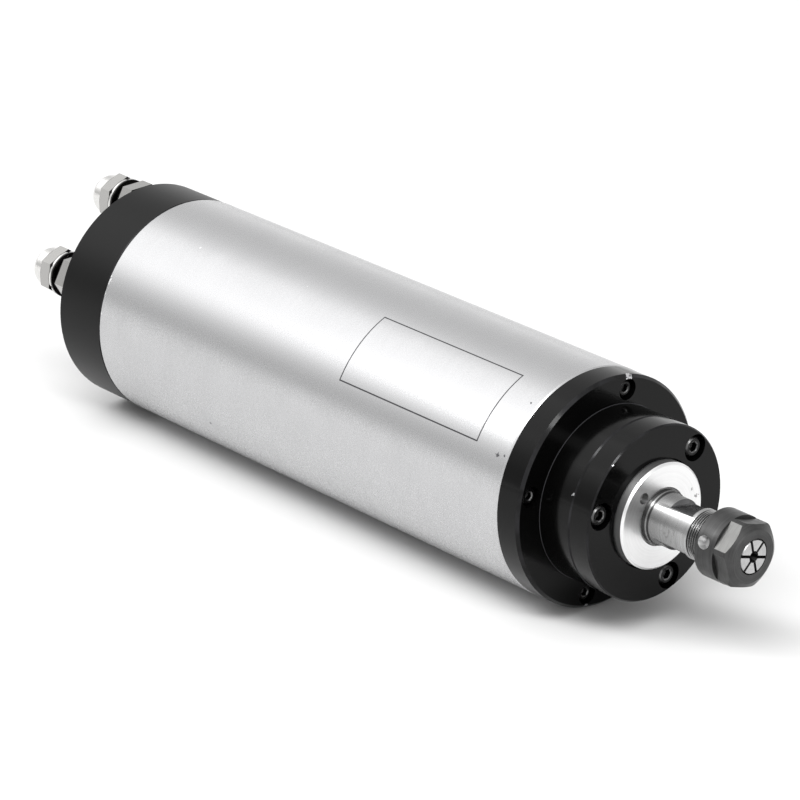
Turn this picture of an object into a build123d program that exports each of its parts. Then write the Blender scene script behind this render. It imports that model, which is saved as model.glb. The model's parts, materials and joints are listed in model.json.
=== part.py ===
from build123d import *
from math import cos, pi, radians, sin, tan
import os

# Water-cooled motor spindle for a small router, lying on its side.
# The spindle axis is +X and the collet nose points to +X. +Z is up.
# The origin is on the axis, at the middle of the round tube that a clamp holds.
# Angles about the axis start at +Y and turn towards +Z. All sizes are in millimetres.

# ---- outer body
tube_diameter = 65.0
tube_length = 169.5
tube_wall = 2.5
end_step = 0.1                 # flange and rear cap stand below the tube, so that a clamp slides on
rim_chamfer = 0.8
edge_chamfer = 0.4
spigot_gap = 0.02              # radial gap of every located fit that doesn't turn

# ---- front end
flange_thickness = 8.0
neck_length = 11.0
neck_diameter = 49.0
cover_thickness = 7.0
front_spigot_length = 16.0
front_spigot_wall = 5.0
winding_pocket_depth = 10.0

# ---- front bearing pair and its spacer
front_bearing_bore = 15.0
front_bearing_outside = 32.0
front_bearing_width = 9.0
spacer_width = 2.0
bearing_shoulder = 2.5
bearing_ring_share = 0.33      # ring wall as a share of the space between bore and outside
ball_share = 0.56              # ball diameter as a share of the same space
race_gap = 0.1                 # play between a ball and its raceways
cage_rim = 0.5                 # left at each side of the cage's pockets
cage_gap = 0.4                 # between the cage and the rings
cage_pocket_gap = 0.15         # between a ball and its pocket
front_ball_count = 11
running_fit = 0.05             # gap beside a ring that turns or slides against its neighbour
thread_gap = 0.05
running_gap = 0.5              # radial and end gap of parts that turn past still ones

# ---- dust cap that turns with the shaft, in a pocket of the cover
dust_cap_diameter = 29.5
dust_cap_stand_out = 2.6
dust_cap_pocket_depth = 4.5
dust_cap_hub_diameter = 19.0
dust_cap_countersink = 0.6
dust_cap_bevel = 0.6
pin_hole_diameter = 3.0
pin_hole_depth = 2.0
pin_hole_circle = 19.8
pin_hole_angle = 134.0

# ---- socket head screws: diameter, head diameter, head height, hexagon across flats
cover_screw = (3.0, 5.5, 3.0, 2.5)
cover_screw_count = 3
cover_screw_edge = 4.2         # neck side to screw centre
cover_screw_angle = 46.0
cover_screw_pocket = 7.5
cover_screw_sink = 0.6
cover_screw_grip = 8.0
flange_screw = (2.5, 4.5, 2.5, 2.0)
flange_screw_count = 4
flange_screw_edge = 4.1        # flange rim to screw centre
flange_screw_angle = 76.4
flange_screw_pocket = 5.9
flange_screw_sink = 1.0
flange_screw_grip = 8.0
rear_screw = (4.0, 7.0, 4.0, 3.0)
rear_screw_count = 3
rear_screw_edge = 5.4          # cap rim to screw centre
rear_screw_angle = 5.0
rear_screw_pocket = 8.0
rear_screw_sink = 0.5
rear_screw_reach = 22.0        # shank under the head, through the cap into the rear housing
socket_depth_share = 0.6       # depth of the hexagon as a share of the head height

# ---- motor
channel_count = 8
channel_floor = 2.9            # left between a channel and the stator
channel_land = 5.0
channel_end_margin = 11.0
link_overlap = 3.0             # how far the cross links run into the long passes
jacket_port_bore = 3.4
seal_width = 2.4
seal_height = 1.8
seal_margin = 4.0
stator_length = 72.0
stator_diameter = 47.0
stator_bore = 27.0
slot_count = 12
slot_width = 3.4
stator_yoke = 3.5              # iron left behind the slots
winding_overhang = 14.0
winding_clearance = 1.5
rotor_gap = 0.3                # air gap between rotor and stator
end_ring_length = 6.0
end_ring_wall = 3.6

# ---- shaft
shaft_core_diameter = 18.0
shaft_neck_length = 4.2        # bearing-size length that shows in front of the cover
nose_diameter = 14.0
nose_chamfer = 0.5
shaft_nose_reach = 31.0        # cover face to the shaft's front end
collet_taper_angle = 8.0
collet_mouth_diameter = 11.2
collet_taper_depth = 15.0
shaft_bore = 6.0
shaft_bore_depth = 24.0
flat_across = 10.0
flat_start = 9.1               # cover face to the rear end of the spanner flats
flat_length = 7.8
flat_angle = 78.0

# ---- rear end
rear_cap_length = 19.5
rear_wall = 6.0
rear_spigot_length = 3.0
rear_spigot_wall = 4.0
rear_bearing_bore = 12.0
rear_bearing_outside = 28.0
rear_bearing_width = 8.0
rear_ball_count = 9
rear_bearing_inset = 2.0
bearing_ring_step = 2.0        # height of the shaft shoulder behind the rear bearing's inner ring
wave_washer_height = 1.4
wave_washer_wall = 3.2
rear_housing_length = 16.0
lock_nut_diameter = 21.0
lock_nut_width = 5.0
lock_nut_notch = 3.0
lock_nut_notch_count = 4
shaft_tail = 3.0

# ---- water fittings: distance in from the cap's rim and angle of each
inlet_edge = 8.8
inlet_angle = 160.6
outlet_edge = 7.2
outlet_angle = 89.5
port_bore = 5.0
fitting_thread_diameter = 10.0
fitting_seal_diameter = 12.6
fitting_seal_thickness = 0.8
fitting_hex = 13.0
fitting_hex_length = 4.4
fitting_hex_angle = 1.0
fitting_neck_diameter = 10.0
fitting_neck_length = 6.5
fitting_barb_diameter = 6.2
fitting_bore = 4.0
hose_diameter = 8.0
hose_gap = 0.1
hose_nut_stand_off = 2.2       # bare thread between the fitting's hexagon and the nut's collar
hose_nut_collar_diameter = 13.8
hose_nut_collar_length = 1.5
hose_nut_hex = 13.0
hose_nut_hex_angle = 24.0
hose_nut_hex_length = 4.5
hose_nut_end_diameter = 11.6
hose_nut_end_length = 4.8
hose_nut_end_round = 1.2
hex_corner_trim = 0.5
olive_length = 2.2
olive_gap = 0.35               # radial gap between the hose hole of the nut and the olive's own

# ---- four-pin panel socket
socket_angle = 305.0
socket_thread_diameter = 16.0
socket_flange_diameter = 19.0
socket_flange_thickness = 2.0
socket_reach = 10.0
socket_tail = 3.5
socket_wall = 1.6
socket_insert_set_back = 6.0
socket_nut_across = 18.0
socket_nut_thickness = 2.5
socket_nut_gap = 0.1           # between the nut's corners and the cap's wall
socket_pin_diameter = 2.0
socket_pin_circle = 6.4
socket_pin_count = 4
socket_pin_angle = 45.0
socket_pin_reach = 4.5
socket_pin_tail = 4.0

# ---- lead wires from the socket's pins to the windings
lead_diameter = 1.4
lead_bend_radius = 3.0
lead_straight = 1.9            # straight stretch at each end of the slanted run, before its bend
lead_hole_diameter = 6.0
lead_hole_offset = 18.5
lead_spacing = 1.6             # from the middle of the bundle to each wire

# ---- collet and its nut
nut_diameter = 19.0
nut_length = 12.2
nut_hex = 17.0
nut_hex_start = 6.7
nut_hex_angle = 44.1
nut_face_diameter = 14.5
nut_face_chamfer = 1.6
nut_mouth_diameter = 9.8
nut_cone_angle = 30.0
nut_relief_gap = 0.3
nut_thread_relief = 0.3
catch_width = 0.7
catch_offset = 0.6
catch_hole_gap = 0.1
dimple_diameter = 3.9
dimple_floor_diameter = 1.95
dimple_depth = 1.9
dimple_position = 2.9
dimple_count = 3
dimple_angle = 158.0
collet_length = 18.0
collet_diameter = 11.5
collet_face_diameter = 9.0
collet_stand_out = 0.1
collet_bore = 3.175
collet_slot_count = 6
collet_slot_width = 0.8
collet_slot_angle = 42.5
collet_slot_length = 12.0
collet_groove_diameter = 9.6
collet_groove_width = 1.0
collet_land_diameter = 11.2
collet_land_width = 0.6
collet_relief_diameter = 4.2
collet_bore_length = 9.0
collet_rear_slot_width = 0.5
collet_rear_slot_length = 8.0
collet_seat_gap = 0.02

# ---- stations along the axis
tube_front = tube_length / 2
tube_rear = -tube_length / 2
flange_front = tube_front + flange_thickness
neck_front = flange_front + neck_length
cover_front = neck_front + cover_thickness
rear_face = tube_rear - rear_cap_length
bearing_rear = neck_front - 2 * front_bearing_width - spacer_width
end_radius = tube_diameter / 2 - end_step
tube_bore_radius = tube_diameter / 2 - tube_wall
spigot_radius = tube_bore_radius - spigot_gap
jacket_front = tube_front - front_spigot_length
rear_housing_front = tube_rear + rear_housing_length
stator_outer = stator_diameter / 2
slot_floor = stator_outer - stator_yoke
rotor_radius = stator_bore / 2 - rotor_gap
cover_screw_offset = neck_diameter / 2 - cover_screw_edge
flange_screw_offset = end_radius - flange_screw_edge
rear_screw_offset = end_radius - rear_screw_edge
inlet_offset = end_radius - inlet_edge
outlet_offset = end_radius - outlet_edge
rear_cavity_radius = lead_hole_offset + lead_hole_diameter / 2
socket_offset = rear_cavity_radius - socket_nut_across / 2 / cos(pi / 6) - socket_nut_gap
jacket_rear = rear_housing_front
rear_bearing_rear = tube_rear + rear_bearing_inset
rear_bearing_front = rear_bearing_rear + rear_bearing_width
shaft_front = cover_front + shaft_nose_reach
collet_big_end = (shaft_front
                  + (collet_diameter - collet_mouth_diameter) / 2 / tan(radians(collet_taper_angle)))
collet_cone_length = (collet_land_diameter - collet_face_diameter) / 2 / tan(radians(nut_cone_angle))
collet_front = collet_big_end + collet_groove_width + collet_land_width + collet_cone_length
collet_rear = collet_front - collet_length
nut_front = collet_front - collet_stand_out
nut_rear = nut_front - nut_length
os.makedirs("parts", exist_ok=True)


# ---- shapes used by many pieces

def turned(outline):
    """Solid of revolution about the spindle axis, from (x, radius) corners."""
    corners = [here for here, after in zip(outline, outline[1:] + outline[:1])
               if abs(here[0] - after[0]) + abs(here[1] - after[1]) > 1e-6]
    return revolve(make_face(Polyline(corners, close=True)), Axis.X)


def ring(start, end, inner, outer, bevel=0.0):
    """Turned ring between two stations, with its outer corners bevelled."""
    corners = [(start, inner), (end, inner), (end, outer - bevel), (end - bevel, outer),
               (start + bevel, outer), (start, outer - bevel)]
    if bevel == 0:
        corners = [(start, inner), (end, inner), (end, outer), (start, outer)]
    return turned(corners)


def rod(start, end, radius, offset=0.0, angle=0.0):
    """Round bar parallel to the axis, offset from it at an angle."""
    bar = Pos(min(start, end), 0, 0) * Rot(0, 90, 0) * Cylinder(
        radius, abs(end - start), align=(Align.CENTER, Align.CENTER, Align.MIN))
    return placed(bar, offset, angle)


def hexagon(start, end, across, offset=0.0, angle=0.0, turn=0.0):
    """Hexagonal bar parallel to the axis, turned about its own centre line."""
    outline = RegularPolygon(across / 2, 6, major_radius=False, rotation=turn)
    bar = Pos(min(start, end), 0, 0) * extrude(Plane.YZ * outline, abs(end - start))
    return placed(bar, offset, angle)


def offset_point(offset, angle):
    return Vector(0, offset * cos(radians(angle)), offset * sin(radians(angle)))


def placed(shape, offset, angle):
    """Moves a shape made on the axis sideways, without turning it."""
    return Pos(offset_point(offset, angle)) * shape


def evenly(count, first):
    return [first + k * 360 / count for k in range(count)]


def socket_screw(size, head_face, grip, direction, offset, angle):
    """Socket head screw. direction is +1 where the head faces +X and -1 where it faces -X."""
    diameter, head, height, across = size
    under_head = head_face - direction * height
    screw = rod(under_head, head_face, head / 2)
    screw += rod(under_head - direction * grip, under_head, diameter / 2)
    screw -= hexagon(head_face - direction * height * socket_depth_share, head_face, across)
    return placed(screw, offset, angle)


def screw_hole(size, pocket, sink, face, grip, direction, offset, angle):
    """Counterbored hole that the screw above sits in."""
    under_head = face - direction * (sink + size[2])
    hole = rod(under_head, face, pocket / 2) + rod(under_head - direction * grip, under_head, size[0] / 2)
    return placed(hole, offset, angle)


def save(name, *solids):
    shape = solids[0] if len(solids) == 1 else Compound(children=list(solids))
    export_step(shape, f"parts/{name}.step")


# ---- still parts, from the nose to the rear

def make_body_tube():
    outer = tube_diameter / 2
    return turned([
        (tube_rear, tube_bore_radius), (tube_front, tube_bore_radius),
        (tube_front, outer - edge_chamfer), (tube_front - edge_chamfer, outer),
        (tube_rear + edge_chamfer, outer), (tube_rear, outer - edge_chamfer)])


def cover_screw_holes():
    return [screw_hole(cover_screw, cover_screw_pocket, cover_screw_sink, cover_front,
                       cover_screw_grip, 1, cover_screw_offset, angle)
            for angle in evenly(cover_screw_count, cover_screw_angle)]


def flange_screw_holes():
    return [screw_hole(flange_screw, flange_screw_pocket, flange_screw_sink, flange_front,
                       flange_screw_grip, 1, flange_screw_offset, angle)
            for angle in evenly(flange_screw_count, flange_screw_angle)]


def make_front_housing():
    neck = neck_diameter / 2
    bore = front_bearing_outside / 2
    pocket = tube_bore_radius - front_spigot_wall
    pocket_floor = jacket_front + winding_pocket_depth
    housing = turned([
        (neck_front, bore), (neck_front, neck - edge_chamfer), (neck_front - edge_chamfer, neck),
        (flange_front, neck), (flange_front, end_radius - rim_chamfer),
        (flange_front - rim_chamfer, end_radius), (tube_front + edge_chamfer, end_radius),
        (tube_front, end_radius - edge_chamfer), (tube_front, spigot_radius),
        (jacket_front, spigot_radius), (jacket_front, pocket),
        (pocket_floor, pocket), (pocket_floor, bore - bearing_shoulder),
        (bearing_rear, bore - bearing_shoulder), (bearing_rear, bore)])
    return housing - cover_screw_holes() - flange_screw_holes()


def make_front_cover():
    outer = neck_diameter / 2
    pocket = dust_cap_diameter / 2 + running_gap
    lip = dust_cap_hub_diameter / 2 + running_gap
    pocket_floor = cover_front - dust_cap_pocket_depth
    cover = turned([
        (neck_front, lip), (pocket_floor, lip), (pocket_floor, pocket), (cover_front, pocket),
        (cover_front, outer - edge_chamfer), (cover_front - edge_chamfer, outer),
        (neck_front + edge_chamfer, outer), (neck_front, outer - edge_chamfer)])
    return cover - cover_screw_holes()


def make_cover_screws():
    return [socket_screw(cover_screw, cover_front - cover_screw_sink, cover_screw_grip, 1,
                         cover_screw_offset, angle)
            for angle in evenly(cover_screw_count, cover_screw_angle)]


def make_flange_screws():
    return [socket_screw(flange_screw, flange_front - flange_screw_sink, flange_screw_grip, 1,
                         flange_screw_offset, angle)
            for angle in evenly(flange_screw_count, flange_screw_angle)]


def make_water_jacket():
    """Sleeve with a serpentine water channel milled round its outside."""
    sleeve = ring(jacket_rear, jacket_front, stator_outer, spigot_radius)
    for groove_start in (jacket_rear + seal_margin, jacket_front - seal_margin - seal_width):
        sleeve -= ring(groove_start, groove_start + seal_width,
                       tube_bore_radius - seal_height, tube_bore_radius + 1)
    channel_rear = jacket_rear + channel_end_margin
    channel_front = jacket_front - channel_end_margin
    middle = (channel_rear + channel_front) / 2
    pitch = 360 / channel_count
    width = 2 * pi * tube_bore_radius / channel_count - channel_land
    channel_depth = tube_bore_radius - stator_outer - channel_floor
    between_ports = (inlet_angle + outlet_angle) / 2
    slot = Pos(middle, tube_bore_radius, 0) * Box(
        channel_front - channel_rear, 2 * channel_depth, width)
    link_length = width
    for k in range(channel_count):
        angle = between_ports + (k + 0.5) * pitch
        sleeve -= Rot(angle, 0, 0) * slot
        if k < channel_count - 1:
            link_start = channel_front - link_length if k % 2 == 0 else channel_rear
            link = Pos(link_start + link_length / 2, tube_bore_radius, 0) * Box(
                link_length, 2 * channel_depth, channel_land + link_overlap)
            sleeve -= Rot(angle + pitch / 2, 0, 0) * link
    hole_offset = (stator_outer + tube_bore_radius - seal_height) / 2
    for angle in (inlet_angle, outlet_angle):
        sleeve -= rod(jacket_rear, channel_rear + jacket_port_bore, jacket_port_bore / 2, hole_offset, angle)
    return sleeve


def make_jacket_seals():
    return [ring(start, start + seal_width, tube_bore_radius - seal_height, tube_bore_radius)
            for start in (jacket_rear + seal_margin, jacket_front - seal_margin - seal_width)]


def slot_bars(inner):
    """Bars that fill the stator's slots from a radius out to their floor."""
    bar = Pos(0, (inner + slot_floor) / 2, 0) * Box(stator_length, slot_floor - inner, slot_width)
    return [Rot(angle, 0, 0) * bar for angle in evenly(slot_count, 0)]


def make_stator_core():
    core = ring(-stator_length / 2, stator_length / 2, stator_bore / 2, stator_outer)
    return core - slot_bars(stator_bore / 2 - slot_width / 2)


def make_stator_windings():
    """End turns at both ends of the stack, joined by the conductors in the slots."""
    inner = stator_bore / 2 + winding_clearance
    outer = slot_floor + winding_clearance
    half = stator_length / 2
    coils = ring(-half - winding_overhang, -half, inner, outer, winding_clearance)
    coils += ring(half, half + winding_overhang, inner, outer, winding_clearance)
    return coils + slot_bars(inner)


def make_bearing(start, width, bore, outside, ball_count):
    """Outer ring, inner ring, balls and cage of a deep groove ball bearing."""
    space = (outside - bore) / 2
    pitch_radius = (outside + bore) / 4
    outer_land = outside / 2 - space * bearing_ring_share
    inner_land = bore / 2 + space * bearing_ring_share
    ball = space * ball_share / 2
    middle = start + width / 2
    raceway = Pos(middle, 0, 0) * Rot(0, 90, 0) * Torus(pitch_radius, ball + race_gap)
    outer = ring(start, start + width, outer_land, outside / 2) - raceway
    inner = ring(start, start + width, bore / 2, inner_land) - raceway
    places = [(pitch_radius, angle) for angle in evenly(ball_count, 0)]
    balls = [placed(Pos(middle, 0, 0) * Sphere(ball), *place) for place in places]
    cage_half = ball + cage_pocket_gap + cage_rim
    cage = ring(middle - cage_half, middle + cage_half, inner_land + cage_gap, outer_land - cage_gap)
    cage -= [placed(Pos(middle, 0, 0) * Sphere(ball + cage_pocket_gap), *place) for place in places]
    return outer, inner, balls, cage


def make_bearing_spacers():
    """Outer and inner spacer between the two front bearings."""
    wall = (front_bearing_outside - front_bearing_bore) / 2 * bearing_ring_share
    start = bearing_rear + front_bearing_width
    end = start + spacer_width
    outer = ring(start, end, front_bearing_outside / 2 - wall, front_bearing_outside / 2)
    inner = ring(start, end, front_bearing_bore / 2, front_bearing_bore / 2 + wall)
    return outer, inner


def make_rear_housing():
    """Plate inside the tube that carries the rear bearing and the two water ports."""
    bore = rear_bearing_outside / 2
    step = spigot_radius - rear_spigot_wall
    washer_front = rear_bearing_front + wave_washer_height
    housing = turned([
        (tube_rear, bore), (washer_front, bore), (washer_front, bore - bearing_shoulder),
        (rear_housing_front, bore - bearing_shoulder), (rear_housing_front, spigot_radius),
        (tube_rear + rear_spigot_length, spigot_radius), (tube_rear + rear_spigot_length, step),
        (tube_rear, step)])
    for offset, angle in ((inlet_offset, inlet_angle), (outlet_offset, outlet_angle)):
        housing -= rod(tube_rear, rear_housing_front, port_bore / 2, offset, angle)
    housing -= rod(tube_rear, rear_housing_front, lead_hole_diameter / 2, lead_hole_offset, socket_angle)
    return housing - rear_screw_holes()


def make_wave_washer():
    bore = rear_bearing_outside / 2
    return ring(rear_bearing_front, rear_bearing_front + wave_washer_height,
                bore - wave_washer_wall, bore)


def rear_screw_holes():
    return [screw_hole(rear_screw, rear_screw_pocket, rear_screw_sink, rear_face,
                       rear_screw_reach, -1, rear_screw_offset, angle)
            for angle in evenly(rear_screw_count, rear_screw_angle)]


def make_rear_cap():
    cavity = rear_cavity_radius
    inside_wall = rear_face + rear_wall
    spigot_front = tube_rear + rear_spigot_length
    spigot_inner = spigot_radius - rear_spigot_wall
    cap = turned([
        (rear_face, 0), (rear_face, end_radius - rim_chamfer), (rear_face + rim_chamfer, end_radius),
        (tube_rear - edge_chamfer, end_radius), (tube_rear, end_radius - edge_chamfer),
        (tube_rear, spigot_radius), (spigot_front, spigot_radius), (spigot_front, spigot_inner),
        (tube_rear, spigot_inner),
        (tube_rear, cavity), (inside_wall, cavity), (inside_wall, 0)])
    for offset, angle in ((inlet_offset, inlet_angle), (outlet_offset, outlet_angle)):
        cap += rod(inside_wall, tube_rear, fitting_hex / 2, offset, angle)
        cap -= rod(inside_wall, tube_rear, port_bore / 2, offset, angle)
        cap -= rod(rear_face, inside_wall, fitting_thread_diameter / 2, offset, angle)
    cap -= rod(rear_face, inside_wall, socket_thread_diameter / 2, socket_offset, socket_angle)
    return cap - rear_screw_holes()


def make_rear_screws():
    return [socket_screw(rear_screw, rear_face + rear_screw_sink, rear_screw_reach, -1,
                         rear_screw_offset, angle)
            for angle in evenly(rear_screw_count, rear_screw_angle)]


# ---- water fittings. Each is made on the axis, measured back from the rear face.

def behind(outline):
    return turned([(rear_face - back, r) for back, r in outline])


def make_fitting_seal():
    return behind([(0, fitting_thread_diameter / 2), (0, fitting_seal_diameter / 2),
                   (fitting_seal_thickness, fitting_seal_diameter / 2),
                   (fitting_seal_thickness, fitting_thread_diameter / 2)])


def make_fitting_body():
    neck_start = fitting_seal_thickness + fitting_hex_length
    neck_end = neck_start + fitting_neck_length
    hollow = fitting_bore / 2
    stem = behind([
        (-rear_wall, hollow), (-rear_wall, fitting_thread_diameter / 2),
        (neck_start, fitting_thread_diameter / 2), (neck_start, fitting_neck_diameter / 2),
        (neck_end, fitting_neck_diameter / 2), (neck_end, fitting_barb_diameter / 2),
        (neck_end + olive_length, fitting_barb_diameter / 2), (neck_end + olive_length, hollow)])
    grip = hexagon(rear_face - fitting_seal_thickness, rear_face - neck_start, fitting_hex,
                   turn=fitting_hex_angle)
    return stem + (grip - rod(rear_face, rear_face - neck_start, hollow))


def olive_start():
    return fitting_seal_thickness + fitting_hex_length + fitting_neck_length


def make_olive():
    start = olive_start() + running_fit
    end = olive_start() + olive_length - running_fit
    inner = hose_diameter / 2 + hose_gap + olive_gap
    outer = fitting_neck_diameter / 2
    return behind([(start, inner), (start, outer), (end, outer), (end, inner)])


def make_hose_nut():
    start = fitting_seal_thickness + fitting_hex_length + hose_nut_stand_off
    collar_end = start + hose_nut_collar_length
    hex_end = collar_end + hose_nut_hex_length
    end = hex_end + hose_nut_end_length
    corner = hose_nut_hex / 2 / cos(pi / 6)
    hollow = hose_diameter / 2 + hose_gap
    thread = fitting_neck_diameter / 2 + thread_gap
    barrel = hose_nut_end_diameter / 2
    shoulder = olive_start() + olive_length
    grip = hexagon(rear_face - collar_end, rear_face - hex_end, hose_nut_hex, turn=hose_nut_hex_angle)
    grip &= behind([(collar_end, 0), (collar_end, corner), (hex_end - hex_corner_trim, corner),
                    (hex_end, corner - hex_corner_trim * 2), (hex_end, 0)])
    nut = grip + behind([
        (start, 0), (start, hose_nut_collar_diameter / 2), (collar_end, hose_nut_collar_diameter / 2),
        (collar_end, barrel), (end - hose_nut_end_round, barrel),
        (end - hose_nut_end_round * (1 - sin(pi / 4)), barrel - hose_nut_end_round * (1 - cos(pi / 4))),
        (end, barrel - hose_nut_end_round), (end, 0)])
    return nut - behind([(start, 0), (start, thread), (shoulder, thread), (shoulder, hollow),
                         (end, hollow), (end, 0)])


# ---- panel socket

def make_socket_shell():
    thread = socket_thread_diameter / 2
    inner = thread - socket_wall
    tail = -rear_wall - socket_nut_thickness - socket_tail
    return behind([
        (tail, inner), (tail, thread), (0, thread), (0, socket_flange_diameter / 2),
        (socket_flange_thickness, socket_flange_diameter / 2), (socket_flange_thickness, thread),
        (socket_reach, thread), (socket_reach, inner)])


def make_socket_insert():
    seat = socket_reach - socket_insert_set_back
    inner = socket_thread_diameter / 2 - socket_wall
    insert = behind([(-rear_wall, 0), (-rear_wall, inner), (seat, inner), (seat, 0)])
    return insert - [rod(rear_face + rear_wall, rear_face - seat, socket_pin_diameter / 2,
                         socket_pin_circle / 2, angle)
                     for angle in evenly(socket_pin_count, socket_pin_angle)]


def make_socket_pins():
    seat = socket_reach - socket_insert_set_back
    return [rod(rear_face + rear_wall + socket_pin_tail, rear_face - seat - socket_pin_reach,
                socket_pin_diameter / 2, socket_pin_circle / 2, angle)
            for angle in evenly(socket_pin_count, socket_pin_angle)]


def make_socket_nut():
    start = rear_face + rear_wall
    end = start + socket_nut_thickness
    return hexagon(start, end, socket_nut_across) - rod(start, end, socket_thread_diameter / 2)


def make_lead_wires():
    """One wire from each pin, bent outwards and through the rear housing to the windings."""
    pin_end = rear_face + rear_wall + socket_pin_tail
    windings = -stator_length / 2 - winding_overhang
    wires = []
    for angle in evenly(socket_pin_count, socket_pin_angle):
        at_pin = offset_point(socket_offset, socket_angle) + offset_point(socket_pin_circle / 2, angle)
        in_hole = offset_point(lead_hole_offset, socket_angle) + offset_point(lead_spacing, angle)
        route = [Vector(pin_end, 0, 0) + at_pin, Vector(pin_end + lead_straight, 0, 0) + at_pin,
                 Vector(tube_rear - lead_straight, 0, 0) + in_hole, Vector(windings, 0, 0) + in_hole]
        section = Plane(origin=route[0], z_dir=(1, 0, 0)) * Circle(lead_diameter / 2)
        wires.append(sweep(section, FilletPolyline(*route, radius=lead_bend_radius)))
    return wires


# ---- turning parts

def make_shaft():
    seat = front_bearing_bore / 2
    rear_seat = rear_bearing_bore / 2
    core = shaft_core_diameter / 2
    nose = nose_diameter / 2
    seat_end = cover_front + shaft_neck_length
    tail = rear_bearing_rear - lock_nut_width - shaft_tail
    rear_shoulder = rear_bearing_bore / 2 + bearing_ring_step
    mouth = collet_mouth_diameter / 2
    taper_floor = shaft_front - collet_taper_depth
    taper_end = mouth - collet_taper_depth * tan(radians(collet_taper_angle))
    bore_floor = shaft_front - shaft_bore_depth
    shaft = turned([
        (tail, 0), (tail, rear_seat - edge_chamfer), (tail + edge_chamfer, rear_seat),
        (rear_bearing_front, rear_seat), (rear_bearing_front, rear_shoulder),
        (-stator_length / 2 - end_ring_length, rear_shoulder),
        (-stator_length / 2 - end_ring_length, core), (bearing_rear, core), (bearing_rear, seat),
        (seat_end, seat), (seat_end + nose_chamfer, nose), (shaft_front - nose_chamfer, nose),
        (shaft_front, nose - nose_chamfer), (shaft_front, mouth), (taper_floor, taper_end),
        (taper_floor, shaft_bore / 2), (bore_floor, shaft_bore / 2), (bore_floor, 0)])
    flat_middle = cover_front + flat_start + flat_length / 2
    flat = Pos(flat_middle, flat_across / 2 + nose, 0) * Box(flat_length, 2 * nose, 2 * nose_diameter)
    return shaft - [Rot(angle, 0, 0) * flat for angle in (flat_angle, flat_angle + 180)]


def make_dust_cap():
    outer = dust_cap_diameter / 2
    bore = front_bearing_bore / 2
    face = cover_front + dust_cap_stand_out
    disc_rear = cover_front - dust_cap_pocket_depth + running_gap
    hub = dust_cap_hub_diameter / 2
    cap = turned([
        (neck_front, bore), (face - dust_cap_countersink, bore), (face, bore + dust_cap_countersink),
        (face, outer - dust_cap_bevel), (face - dust_cap_bevel, outer), (disc_rear, outer),
        (disc_rear, hub), (neck_front, hub)])
    return cap - [rod(face - pin_hole_depth, face, pin_hole_diameter / 2, pin_hole_circle / 2, angle)
                  for angle in (pin_hole_angle, pin_hole_angle + 180)]


def make_rotor_core():
    return ring(-stator_length / 2, stator_length / 2, shaft_core_diameter / 2, rotor_radius)


def make_rotor_end_rings():
    outer = rotor_radius - edge_chamfer
    half = stator_length / 2
    return [ring(start, start + end_ring_length, outer - end_ring_wall, outer, edge_chamfer)
            for start in (-half - end_ring_length, half)]


def make_rear_lock_nut():
    start = rear_bearing_rear - lock_nut_width
    radius = lock_nut_diameter / 2
    nut = ring(start, rear_bearing_rear, rear_bearing_bore / 2, radius, edge_chamfer)
    notch = Pos(start + lock_nut_width / 2, radius, 0) * Box(lock_nut_width, lock_nut_notch, lock_nut_notch)
    return nut - [Rot(angle, 0, 0) * notch for angle in evenly(lock_nut_notch_count, 0)]


# ---- collet and nut

def make_collet():
    """Spring collet, slotted six times from the front and six times from the rear between."""
    taper = tan(radians(collet_taper_angle))
    cone = tan(radians(nut_cone_angle))
    big = collet_diameter / 2 - collet_seat_gap
    land = collet_land_diameter / 2 - collet_seat_gap
    face = collet_face_diameter / 2 - collet_seat_gap
    groove_end = collet_big_end + collet_groove_width
    relief = collet_relief_diameter / 2
    bore = collet_bore / 2
    bore_start = collet_front - collet_bore_length
    body = turned([
        (collet_rear, relief), (collet_rear, big - (collet_big_end - collet_rear) * taper),
        (collet_big_end, big), (collet_big_end, collet_groove_diameter / 2),
        (groove_end, collet_groove_diameter / 2), (groove_end, land),
        (collet_front - collet_cone_length, land), (collet_front, face),
        (collet_front, bore), (bore_start, bore), (bore_start, relief)])
    front_slot = Pos(collet_front - collet_slot_length / 2, collet_diameter / 4, 0) * Box(
        collet_slot_length, collet_diameter / 2, collet_slot_width)
    rear_slot = Pos(collet_rear + collet_rear_slot_length / 2, collet_diameter / 4, 0) * Box(
        collet_rear_slot_length, collet_diameter / 2, collet_rear_slot_width)
    body -= [Rot(angle, 0, 0) * front_slot for angle in evenly(collet_slot_count, collet_slot_angle)]
    half_step = 180 / collet_slot_count
    return body - [Rot(angle, 0, 0) * rear_slot
                   for angle in evenly(collet_slot_count, collet_slot_angle + half_step)]


def make_collet_nut():
    outer = nut_diameter / 2
    thread = nose_diameter / 2 + thread_gap
    relief = collet_diameter / 2 + nut_relief_gap
    mouth = nut_mouth_diameter / 2
    cone = tan(radians(nut_cone_angle))
    mouth_end = collet_front - (mouth - collet_face_diameter / 2) / cone
    cone_end = mouth_end - (relief - mouth) / cone
    thread_end = shaft_front + nut_thread_relief
    nut = turned([
        (nut_rear, thread), (nut_rear, outer - edge_chamfer), (nut_rear + edge_chamfer, outer),
        (nut_front - nut_face_chamfer, outer), (nut_front, nut_face_diameter / 2), (nut_front, mouth),
        (mouth_end, mouth), (cone_end, relief), (thread_end, relief), (thread_end, thread)])
    hex_start = nut_rear + nut_hex_start
    nut -= rod(hex_start, nut_front, outer + 1) - hexagon(hex_start, nut_front, nut_hex, turn=nut_hex_angle)
    dimple = Pos(nut_rear + dimple_position, outer - dimple_depth / 2, 0) * Rot(-90, 0, 0) * Cone(
        dimple_floor_diameter / 2, dimple_diameter / 2, dimple_depth)
    return nut - [Rot(angle, 0, 0) * dimple for angle in evenly(dimple_count, dimple_angle)]


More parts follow.
